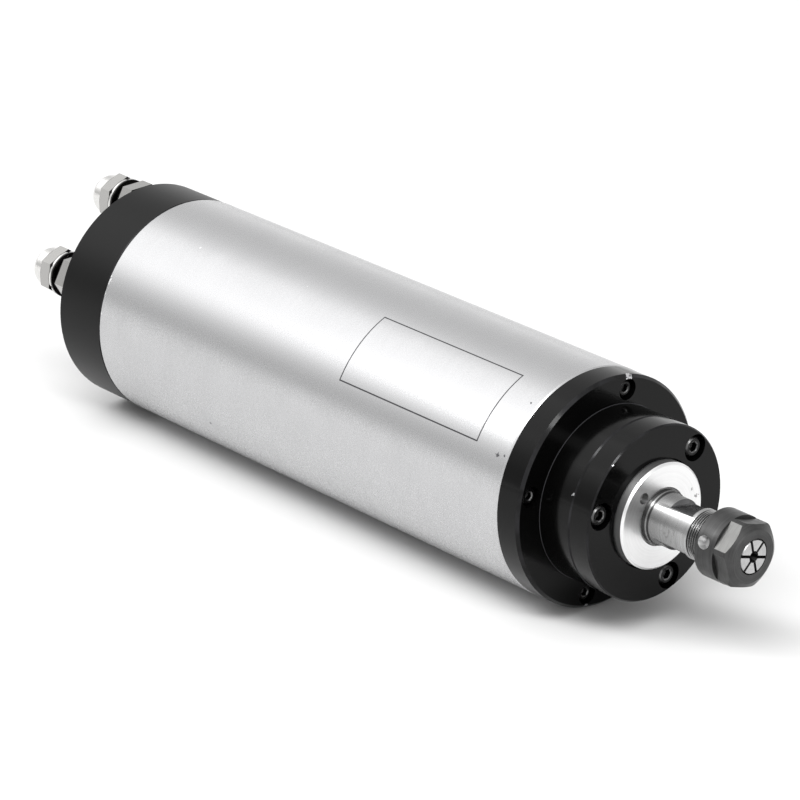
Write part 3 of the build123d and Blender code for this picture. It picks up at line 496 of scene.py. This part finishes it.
def groundSteelShaft():
    # cylindrically ground steel: satin with close rings, a stain on one side, milled spanner flats and
    # painted shade
    look = {"colour": "#ADADAD", "dark": "#929292", "stain": "#6A6968", "coverShade": "#6E6E6E", "rootShade": "#3A3A3A",
            "milled": "#757576", "milledDark": "#3E3E3F", "roughness": 0.27, "lines": 0.35 * mm,
            "clouds": 5 * mm, "spread": 0.35, "relief": 0.04}
    flats = {"from": coverFront + 9.1 * mm, "to": coverFront + 16.9 * mm, "core": 4 * mm, "below": 6.96 * mm,
             "lines": 0.4 * mm, "stroke": 12.5 * mm}
    stain = {"middle": ringSpot(coverFront + 11.5 * mm, 7 * mm, 180), "core": 1.0 * mm, "reach": 5.5 * mm,
             "spots": 0.9 * mm, "coreAbove": 0.52, "rimAbove": 0.75, "edge": 0.12, "strength": 0.55}
    # painted shade: the shaft darkens towards the cover, fading out near the flats' end
    coverShade = {"from": coverFront + 4 * mm, "to": coverFront + 17 * mm, "strength": 0.75}
    # painted shade in the thread's root and in two rings, which are given in millimetres from the cover
    rootShade = {"inner": 6.2 * mm, "outer": 6.7 * mm, "rings": ((2.4, 3.5), (4.2, 4.5)), "edge": 0.15 * mm}
    material, tree, shader, at, colour = turnedMetal("groundSteelShaft", look)
    away = addNode(tree, "ShaderNodeVectorMath", {"operation": "DISTANCE"}, {
        0: at["place"], 1: stain["middle"]}).outputs["Value"]
    spotted = addNode(tree, "ShaderNodeTexNoise", inputs={
        "Vector": at["place"], "Scale": 1 / stain["spots"], "Detail": 3.0}).outputs["Fac"]
    needed = addNode(tree, "ShaderNodeMapRange", inputs={
        "Value": away, "From Min": stain["core"], "From Max": stain["reach"],
        "To Min": stain["coreAbove"], "To Max": stain["rimAbove"]}).outputs[0]
    over = addNode(tree, "ShaderNodeMath", {"operation": "SUBTRACT"}, {0: spotted, 1: needed}).outputs[0]
    stained = addNode(tree, "ShaderNodeMapRange", inputs={
        "Value": over, "From Min": 0.0, "From Max": stain["edge"], "To Max": stain["strength"]}).outputs[0]
    # painted shade in the thread's root and in the two rings
    rootShaded = addNode(tree, "ShaderNodeMath", {"operation": "MULTIPLY"}, {
        0: between(tree, at["along"], noseThread["first"], noseThread["last"], 0.1 * mm),
        1: between(tree, at["radius"], rootShade["inner"], rootShade["outer"], rootShade["edge"])}).outputs[0]
    for ringFrom, ringTo in rootShade["rings"]:
        ring = between(tree, at["along"], coverFront + ringFrom * mm, coverFront + ringTo * mm, rootShade["edge"])
        rootShaded = addNode(tree, "ShaderNodeMath", {"operation": "MAXIMUM"}, {0: rootShaded, 1: ring}).outputs[0]
    # painted shade towards the cover
    coverShaded = addNode(tree, "ShaderNodeMapRange", inputs={
        "Value": at["along"], "From Min": coverShade["from"], "From Max": coverShade["to"],
        "To Min": coverShade["strength"], "To Max": 0.0}).outputs[0]
    isFlat = addNode(tree, "ShaderNodeMath", {"operation": "MULTIPLY"}, {
        0: between(tree, at["along"], flats["from"], flats["to"], 0.02 * mm),
        1: between(tree, at["radius"], flats["core"], flats["below"], 0.02 * mm)}).outputs[0]
    strokes = millStrokes(tree, at, flats["lines"], flats["stroke"], 2.0)
    milled = overlay(tree, toLinear(look["milledDark"]), [(strokes, look["milled"])])
    colour = overlay(tree, colour, [
        (stained, look["stain"]), (coverShaded, look["coverShade"]), (rootShaded, look["rootShade"]), (isFlat, milled)])
    tree.links.new(colour, shader.inputs["Base Color"])
    return material


def blackOxideNut():
    # black oxide steel: dull dark grey, a painted highlight that makes one flat lighter than the others, and
    # bright where the dimples were drilled
    look = {"colour": "#505050", "dark": "#404040", "flat": "#767675", "flatDark": "#5A5A59",
            "dimple": "#A6A6A6", "roughness": 0.4, "lines": 0.35 * mm, "clouds": 3 * mm, "spread": 0.0,
            "relief": 0.15}
    # core and below are the radii between which the flats lie. A flat ends 30 degrees from its middle, so its
    # directions have a cosine above 0.87, and the last entry is how far the other flats share the painted
    # highlight.
    flats = {"from": nutRear + 6.75 * mm, "to": nutFront, "core": 7.9 * mm, "below": 9.46 * mm,
             "lines": 0.35 * mm, "stroke": 6.25 * mm, "cosine": (0.85, 0.88),
             "litFlatAt": 134.1, "others": 0.12}
    dimples = {"from": nutRear + 0.9 * mm, "to": nutRear + 4.9 * mm, "core": 7.2 * mm, "below": 9.44 * mm}
    material, tree, shader, at, colour = turnedMetal("blackOxideNut", look)
    isHexagon = addNode(tree, "ShaderNodeMath", {"operation": "MULTIPLY"}, {
        0: between(tree, at["along"], flats["from"], flats["to"], 0.02 * mm),
        1: between(tree, at["radius"], flats["core"], flats["below"], 0.01 * mm)}).outputs[0]
    isFlat = addNode(tree, "ShaderNodeMath", {"operation": "MULTIPLY"}, {
        0: isHexagon, 1: between(tree, facingNose(tree), -0.1, 0.1, 0.02)}).outputs[0]
    # painted highlight: the flat that faces the light is lighter than the other flats
    toward = addNode(tree, "ShaderNodeVectorMath", {"operation": "DOT_PRODUCT"}, {
        0: at["arm"], 1: ringSpot(0.0, 1.0, flats["litFlatAt"])}).outputs["Value"]
    cosine = addNode(tree, "ShaderNodeMath", {"operation": "DIVIDE"}, {0: toward, 1: at["radius"]}).outputs[0]
    rubbedAndLit = addNode(tree, "ShaderNodeMapRange", inputs={
        "Value": cosine, "From Min": flats["cosine"][0], "From Max": flats["cosine"][1],
        "To Min": flats["others"], "To Max": 1.0}).outputs[0]
    isFlat = addNode(tree, "ShaderNodeMath", {"operation": "MULTIPLY"}, {0: isFlat, 1: rubbedAndLit}).outputs[0]
    strokes = millStrokes(tree, at, flats["lines"], flats["stroke"], 3.0)
    milled = overlay(tree, toLinear(look["flatDark"]), [(strokes, look["flat"])])
    isDimple = addNode(tree, "ShaderNodeMath", {"operation": "MULTIPLY"}, {
        0: between(tree, at["along"], dimples["from"], dimples["to"], 0.02 * mm),
        1: between(tree, at["radius"], dimples["core"], dimples["below"], 0.01 * mm)}).outputs[0]
    colour = overlay(tree, colour, [(isFlat, milled), (isDimple, look["dimple"])])
    tree.links.new(colour, shader.inputs["Base Color"])
    return material


def blackOxideScrew():
    # black oxide screw: dark and oily, rubbed to grey on the rim of its head and round its hexagon
    look = {"colour": "#303030", "dark": "#222222", "rubbedAndLit": "#6A6A6A", "roughness": 0.33,
            "lines": 0.25 * mm, "clouds": 2 * mm, "spread": 0.0, "relief": 0.1}
    material, tree, shader, _, colour = turnedMetal("blackOxideScrew", look)
    slope = addNode(tree, "ShaderNodeMath", {"operation": "ABSOLUTE"}, {0: facingNose(tree)}).outputs[0]
    rim = between(tree, slope, 0.5, 0.85, 0.08)      # the slope of the head's chamfers
    tree.links.new(overlay(tree, colour, [(rim, look["rubbedAndLit"])]), shader.inputs["Base Color"])
    return material


def nickelPlatedBrass():
    # nickel plated brass fittings: pale and slightly warm, soft shine over turned and milled brass
    look = {"colour": "#E2E1DF", "dark": "#D0CFCD", "worn": "#A9A8A6", "groove": "#454443", "roughness": 0.2,
            "lines": 0.4 * mm, "clouds": 4 * mm, "spread": 0.0, "relief": 0.1}
    # millimetres behind the rear face: spanner hexagons, then painted shade on the thread and in the corners
    # between the parts
    zones = {"worn": ((0.9, 5.1), (8.9, 13.3)), "groove": ((0.0, 0.9), (5.1, 7.9), (8.7, 9.0), (13.3, 13.5))}
    material, tree, shader, at, colour = turnedMetal("nickelPlatedBrass", look)
    behind = addNode(tree, "ShaderNodeMath", {"operation": "SUBTRACT"}, {
        0: rearFace, 1: at["along"]}).outputs[0]
    # painted shade in the grooves and corners
    colour = overlay(tree, colour, [
        (between(tree, behind, low * mm, high * mm, 0.06 * mm), look[kind])
        for kind, stretches in zones.items() for low, high in stretches])
    tree.links.new(colour, shader.inputs["Base Color"])
    return material


def turnedBrass():
    # bare turned brass: yellow with darker tarnish in clouds
    look = {"colour": "#D2B26C", "dark": "#B3924F", "roughness": 0.26, "lines": 0.25 * mm,
            "clouds": 2.5 * mm, "spread": 0.3, "relief": 0.12}
    return turnedMetal("turnedBrass", look)[0]


def chromedZinc():
    # die-cast zinc with bright chrome: mirror-like, with the slight waves of the casting
    look = {"colour": "#D9DADC", "dark": "#C8C9CC", "roughness": 0.1, "lines": 0.8 * mm, "clouds": 3 * mm,
            "spread": 0.0, "relief": 0.06}
    return turnedMetal("chromedZinc", look)[0]


def groundSpringSteel():
    # hardened and ground spring steel: pale satin petals with close rings
    look = {"colour": "#BFBFBF", "dark": "#A8A8A8", "roughness": 0.3, "lines": 0.2 * mm, "clouds": 1.5 * mm,
            "spread": 0.3, "relief": 0.1}
    return turnedMetal("groundSpringSteel", look)[0]


# finishes of the inner pieces


def machinedAluminium():
    # machined cast aluminium: light, soft shine, clear tool rings and the small pores of a casting
    look = {"colour": "#CDCED0", "dark": "#B4B5B8", "pore": "#77787A", "roughness": 0.34, "lines": 0.35 * mm,
            "clouds": 6 * mm, "spread": 0.35, "relief": 0.2, "pores": 2.2 * mm, "poreReach": 0.12}
    material, tree, shader, at, colour = turnedMetal("machinedAluminium", look)
    pores = specks(tree, at, look["pores"], look["poreReach"])
    tree.links.new(overlay(tree, colour, [(pores, look["pore"])]), shader.inputs["Base Color"])
    return material


def groundBearingSteel():
    # honed bearing steel: almost a mirror, with rings finer than the eye
    look = {"colour": "#CFD0D3", "dark": "#C0C1C5", "roughness": 0.11, "lines": 0.2 * mm, "clouds": 5 * mm,
            "spread": 0.2, "relief": 0.03}
    return turnedMetal("groundBearingSteel", look)[0]


def stackedLamination():
    # electrical steel sheets in a stack: each edge is a line, grey-blue and lightly oiled.
    # The sheets are drawn 1 mm thick, twice the real ones, so that they show.
    look = {"colour": "#83858A", "dark": "#4B4C50", "sheet": 1.0 * mm, "clouds": 5 * mm, "roughness": 0.38,
            "relief": 0.3, "depth": 0.1 * mm}
    material, tree, shader = newMaterial("stackedLamination", {
        "Metallic": 1.0, "Roughness": look["roughness"]})
    place = addNode(tree, "ShaderNodeTexCoord").outputs["Object"]
    bands = addNode(tree, "ShaderNodeTexWave", {"bands_direction": "X"}, {
        "Vector": place, "Scale": math.pi / 10 / look["sheet"],      # one band for each sheet
        "Distortion": 0.6, "Detail": 2.0, "Detail Scale": 3.0}).outputs["Fac"]
    clouds = addNode(tree, "ShaderNodeTexNoise", inputs={
        "Vector": place, "Scale": 1 / look["clouds"], "Detail": 4.0}).outputs["Fac"]
    mixed = addNode(tree, "ShaderNodeMath", {"operation": "MULTIPLY"}, {0: bands, 1: clouds}).outputs[0]
    tone = addNode(tree, "ShaderNodeMapRange", inputs={"Value": mixed, "From Max": 0.5}).outputs[0]
    colour = overlay(tree, toLinear(look["dark"]), [(tone, look["colour"])])
    tree.links.new(colour, shader.inputs["Base Color"])
    bump = addNode(tree, "ShaderNodeBump", inputs={
        "Height": bands, "Strength": look["relief"], "Distance": look["depth"]}).outputs["Normal"]
    tree.links.new(bump, shader.inputs["Normal"])
    return material


def varnishedWinding():
    # enamelled copper wire laid round the end turns and dipped in clear varnish: red-brown, ridged, glossy.
    # The wire is drawn 0.8 mm thick, coarser than the real one, so that it shows.
    look = {"colour": "#B8693C", "dark": "#6E3218", "wire": 0.8 * mm, "wander": 6 * mm, "stray": 1.5 * mm,
            "metallic": 0.85, "roughness": 0.35, "varnish": 0.5, "varnishRoughness": 0.12,
            "relief": 0.6, "depth": 0.3 * mm}
    material, tree, shader = newMaterial("varnishedWinding", {
        "Metallic": look["metallic"], "Roughness": look["roughness"],
        "Coat Weight": look["varnish"], "Coat Roughness": look["varnishRoughness"]})
    at = measurePlace(tree)
    across = addNode(tree, "ShaderNodeMath", {"operation": "ADD"}, {
        0: at["along"], 1: at["radius"]}).outputs[0]
    wander = addNode(tree, "ShaderNodeTexNoise", inputs={
        "Vector": at["place"], "Scale": 1 / look["wander"], "Detail": 2.0}).outputs["Fac"]
    bent = addNode(tree, "ShaderNodeMath", {"operation": "MULTIPLY_ADD"}, {
        0: wander, 1: look["stray"], 2: across}).outputs[0]
    phase = addNode(tree, "ShaderNodeMath", {"operation": "MULTIPLY"}, {
        0: bent, 1: math.pi / look["wire"]}).outputs[0]
    wave = addNode(tree, "ShaderNodeMath", {"operation": "SINE"}, {0: phase}).outputs[0]
    ridge = addNode(tree, "ShaderNodeMath", {"operation": "ABSOLUTE"}, {0: wave}).outputs[0]
    colour = overlay(tree, toLinear(look["dark"]), [(ridge, look["colour"])])
    tree.links.new(colour, shader.inputs["Base Color"])
    bump = addNode(tree, "ShaderNodeBump", inputs={
        "Height": ridge, "Strength": look["relief"], "Distance": look["depth"]}).outputs["Normal"]
    tree.links.new(bump, shader.inputs["Normal"])
    return material


plastics = {
    "nitrileRubber": {"colour": "#1B1B1B", "dark": "#121212", "roughness": 0.6, "grain": 0.3 * mm,
                      "relief": 0.3, "ior": 1.52},
    "glassFilledNylon": {"colour": "#202022", "dark": "#161617", "roughness": 0.45, "grain": 0.25 * mm,
                         "relief": 0.2, "ior": 1.53},
    "naturalPolyamide": {"colour": "#E0D8C2", "dark": "#D0C7AE", "roughness": 0.42, "grain": 0.3 * mm,
                         "relief": 0.15, "ior": 1.53},
    "siliconeSleeve": {"colour": "#A4362A", "dark": "#872A20", "roughness": 0.4, "grain": 0.4 * mm,
                       "relief": 0.1, "ior": 1.43}}
moulding = {"clouds": 5 * mm, "glossChange": 0.08, "depth": 0.05 * mm}


def mouldedPlastic(name):
    # moulded plastic or rubber: even colour, a fine moulded grain and small changes of gloss
    look = plastics[name]
    material, tree, shader = newMaterial(name, {"IOR": look["ior"]})
    place = addNode(tree, "ShaderNodeTexCoord").outputs["Object"]
    grain = addNode(tree, "ShaderNodeTexNoise", inputs={
        "Vector": place, "Scale": 1 / look["grain"], "Detail": 3.0}).outputs["Fac"]
    clouds = addNode(tree, "ShaderNodeTexNoise", inputs={
        "Vector": place, "Scale": 1 / moulding["clouds"], "Detail": 2.0}).outputs["Fac"]
    colour = overlay(tree, toLinear(look["dark"]), [(clouds, look["colour"])])
    gloss = addNode(tree, "ShaderNodeMapRange", inputs={
        "Value": grain, "To Min": look["roughness"] - moulding["glossChange"],
        "To Max": look["roughness"] + moulding["glossChange"]}).outputs[0]
    tree.links.new(colour, shader.inputs["Base Color"])
    tree.links.new(gloss, shader.inputs["Roughness"])
    bump = addNode(tree, "ShaderNodeBump", inputs={
        "Height": grain, "Strength": look["relief"], "Distance": moulding["depth"]}).outputs["Normal"]
    tree.links.new(bump, shader.inputs["Normal"])
    return material


# the finish of each material slot in the frame's record
finishes = {
    "stainless_tube": groundStainlessTube(),
    "black_anodised": blackAnodised(),
    "black_screw": blackOxideScrew(),
    "polished_steel": turnedSteelCap(),
    "ground_steel": groundSteelShaft(),
    "collet_steel": groundSpringSteel(),
    "dark_nut": blackOxideNut(),
    "nickel_brass": nickelPlatedBrass(),
    "bare_brass": turnedBrass(),
    "chrome_shell": chromedZinc(),
    "cast_aluminium": machinedAluminium(),
    "bearing_steel": groundBearingSteel(),
    "lamination_steel": stackedLamination(),
    "copper": varnishedWinding(),
    "rubber": mouldedPlastic("nitrileRubber"),
    "socket_plastic": mouldedPlastic("glassFilledNylon"),
    "cage_polyamide": mouldedPlastic("naturalPolyamide"),
    "wire_insulation": mouldedPlastic("siliconeSleeve")}

slotOfNode = {part["node"]: part["material_slot"] for part in frame["record"]["subparts"]}
for nodeName, nodeObject in nodes.items():
    nodeObject.data.materials.clear()
    nodeObject.data.materials.append(finishes[slotOfNode[nodeName]])
print("spindle: finishes given to", len(nodes), "nodes")

# threads: the shaft's nose, the necks of the two hose fittings and the socket's shell
hoseNeck = {"body": "housing", "first": rearFace - 11.6 * mm, "last": rearFace - 5.3 * mm,
            "crest": 5.0 * mm, "root": 4.45 * mm, "pitch": 1.0 * mm}
threads = {
    "shaft": dict(noseThread, body="rotor", crest=7.0 * mm, root=6.56 * mm, pitch=0.75 * mm),
    "inlet_fitting": hoseNeck,
    "outlet_fitting": hoseNeck,
    "socket_shell": {"body": "housing", "first": rearFace - 9.6 * mm, "last": rearFace - 2.2 * mm,
                     "crest": 8.0 * mm, "root": 7.45 * mm, "pitch": 1.0 * mm}}
# form of every thread: sides of a turn, flank angle, how deep it sits in the core, and the rest in pitches
threadForm = {"sides": 48, "flank": math.radians(30), "sink": 0.05 * mm,
              "crestWidth": 1 / 8, "startAfter": 0.35, "stopShort": 1.05, "fade": 2 / 3, "runOut": 0.3}


def addHelix(shape, thread, centre):
    # one thread profile swept round the axis, dying out into the root at both ends
    pitch, crest = thread["pitch"], thread["crest"]
    sunk = thread["root"] - threadForm["sink"]
    flank = (crest - sunk) * math.tan(threadForm["flank"])
    top = pitch * threadForm["crestWidth"]
    start = thread["first"] + threadForm["startAfter"] * pitch
    length = thread["last"] - thread["first"] - (threadForm["startAfter"] + threadForm["stopShort"]) * pitch
    turns = math.floor(length / pitch * 4) / 4      # in quarter turns
    corners = [(0, sunk), (flank, crest), (flank + top, crest), (2 * flank + top, sunk)]
    oldFaces, oldEdges, oldVerts = set(shape.faces), set(shape.edges), set(shape.verts)
    profile = [shape.verts.new((start + along, radius, 0)) for along, radius in corners]
    sides = [shape.edges.new((profile[k], profile[(k + 1) % 4])) for k in range(4)]
    bmesh.ops.spin(shape, geom=profile + sides, cent=(0, 0, 0), axis=(1, 0, 0), angle=2 * math.pi * turns,
                   dvec=(pitch / threadForm["sides"], 0, 0), steps=int(threadForm["sides"] * turns))
    newVerts = [vertex for vertex in shape.verts if vertex not in oldVerts]
    end = max(vertex.co.x for vertex in newVerts)
    for vertex in newVerts:
        radius = vertex.co.yz.length
        rise = min(vertex.co.x - start, end - vertex.co.x) / (threadForm["fade"] * pitch)
        wanted = sunk + (radius - sunk) * min(max(rise, 0.0), 1.0)
        vertex.co.y *= wanted / radius
        vertex.co.z *= wanted / radius
    bmesh.ops.translate(shape, verts=newVerts, vec=(0, centre[0], centre[1]))
    newFaces = [face for face in shape.faces if face not in oldFaces]
    openEdges = [edge for edge in shape.edges if edge.is_boundary and edge not in oldEdges]
    newFaces += bmesh.ops.holes_fill(shape, edges=openEdges, sides=4)["faces"]
    bmesh.ops.recalc_face_normals(shape, faces=newFaces)


def nodeCentre(nodeName):
    low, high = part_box(nodeName)
    return (low[1] + high[1]) / 2, (low[2] + high[2]) / 2


def buildThreaded(nodeName, thread):
    # the node's cylinder goes down to the thread's root, and the helix is laid on it
    centre = (0.0, 0.0) if nodeName == "shaft" else nodeCentre(nodeName)
    shape = bmesh.new()
    shape.from_mesh(nodes[nodeName].data)
    bmesh.ops.remove_doubles(shape, verts=shape.verts, dist=0.001 * mm)
    runOut = threadForm["runOut"] * thread["pitch"]
    for cut in (thread["first"], thread["first"] + runOut, thread["last"] - runOut, thread["last"]):
        bmesh.ops.bisect_plane(shape, geom=shape.verts[:] + shape.edges[:] + shape.faces[:],
                               plane_co=(cut, 0, 0), plane_no=(1, 0, 0), dist=0.0005 * mm)
    for vertex in shape.verts:
        arm = Vector((vertex.co.y - centre[0], vertex.co.z - centre[1]))
        inside = thread["first"] + runOut / 2 < vertex.co.x < thread["last"] - runOut / 2
        if inside and arm.length > thread["root"]:
            arm *= thread["root"] / arm.length
            vertex.co.y, vertex.co.z = centre[0] + arm.x, centre[1] + arm.y
    addHelix(shape, thread, centre)
    finishPiece(nodeName + "_threaded", shape, thread["body"], finishes[slotOfNode[nodeName]], nodeName)


for nodeName, thread in threads.items():
    buildThreaded(nodeName, thread)
print("spindle: threads cut on", len(threads), "pieces")

# socket head cap screws with knurled, chamfered heads, in millimetres and degrees. A screw that faces 1 has
# its head towards the nose, and turns says at what angle each one stopped.
screws = {
    "cover_screws": {"diameter": 3.0, "head": 5.5, "height": 3.0, "hexagon": 2.5, "grip": 8.0,
                     "offset": 20.3, "count": 3, "firstAngle": 46.0, "faces": 1, "turns": (8, 31, 52)},
    "flange_screws": {"diameter": 2.5, "head": 4.5, "height": 2.5, "hexagon": 2.0, "grip": 8.0,
                      "offset": 28.3, "count": 4, "firstAngle": 76.4, "faces": 1, "turns": (14, 40, 3, 27)},
    "rear_cap_screws": {"diameter": 4.0, "head": 7.0, "height": 4.0, "hexagon": 3.0, "grip": 22.0,
                        "offset": 27.0, "count": 3, "firstAngle": 5.0, "faces": -1, "turns": (22, 49, 11)}}
# form of every screw: shares of the head's height, the hexagon's half and the head's width, then millimetres
screwForm = {"sides": 48, "socketDepth": 0.6, "drillTip": 0.45, "headChamfer": 0.09,
             "socketChamfer": 0.2, "tipChamfer": 0.4, "knurl": 0.12, "near": 0.01}


def addScrew(shape, screw, headFace, angle, turn):
    radius, head, height = screw["diameter"] / 2, screw["head"] / 2, screw["height"]
    flatHalf = screw["hexagon"] / 2
    corner = flatHalf / math.cos(math.pi / 6)
    depth, chamfer = screwForm["socketDepth"] * height, screwForm["headChamfer"] * screw["head"]
    mouth, tip, bottom = screwForm["socketChamfer"], screwForm["tipChamfer"], height + screw["grip"]
    outline = [(-depth - screwForm["drillTip"] * flatHalf, 0), (-depth, corner), (-mouth, corner),
               (0, corner + mouth), (0, head - chamfer), (-chamfer, head), (-height, head),
               (-height, radius), (-bottom + tip, radius), (-bottom, radius - tip), (-bottom, 0)]
    old = set(shape.verts)
    points = [shape.verts.new((along * mm, away * mm, 0)) for along, away in outline]
    edges = [shape.edges.new(pair) for pair in zip(points, points[1:])]
    bmesh.ops.spin(shape, geom=points + edges, cent=(0, 0, 0), axis=(1, 0, 0), angle=2 * math.pi,
                   steps=screwForm["sides"], use_merge=True)
    fresh = [vertex for vertex in shape.verts if vertex not in old]
    bmesh.ops.remove_doubles(shape, verts=fresh, dist=0.001 * mm)
    fresh = [vertex for vertex in shape.verts if vertex not in old]
    for vertex in fresh:
        away = vertex.co.yz.length / mm
        around = math.degrees(math.atan2(vertex.co.z, vertex.co.y))
        if abs(away - corner) < screwForm["near"]:      # the round hole becomes a hexagon
            wanted = flatHalf / math.cos(math.radians((around + 720) % 60 - 30))
        elif abs(away - head) < screwForm["near"] and round(around / (360 / screwForm["sides"])) % 2:
            wanted = away - screwForm["knurl"]      # every second line is a groove of the knurl
        else:
            continue
        vertex.co.y *= wanted / away
        vertex.co.z *= wanted / away
    place = (Matrix.Translation(ringSpot(headFace, screw["offset"] * mm, angle))
             @ Matrix.Rotation(math.radians(turn), 4, "X")
             @ Matrix.Rotation(0 if screw["faces"] > 0 else math.pi, 4, "Z"))
    bmesh.ops.transform(shape, matrix=place, verts=fresh)


def buildScrews(nodeName, screw):
    shape = bmesh.new()
    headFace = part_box(nodeName)[1 if screw["faces"] > 0 else 0][0]
    for k in range(screw["count"]):
        addScrew(shape, screw, headFace, screw["firstAngle"] + k * 360 / screw["count"], screw["turns"][k])
    bmesh.ops.recalc_face_normals(shape, faces=shape.faces)
    finishPiece(nodeName + "_knurled", shape, "housing", finishes["black_screw"], nodeName)


for nodeName, screw in screws.items():
    buildScrews(nodeName, screw)
print("spindle: screws built")
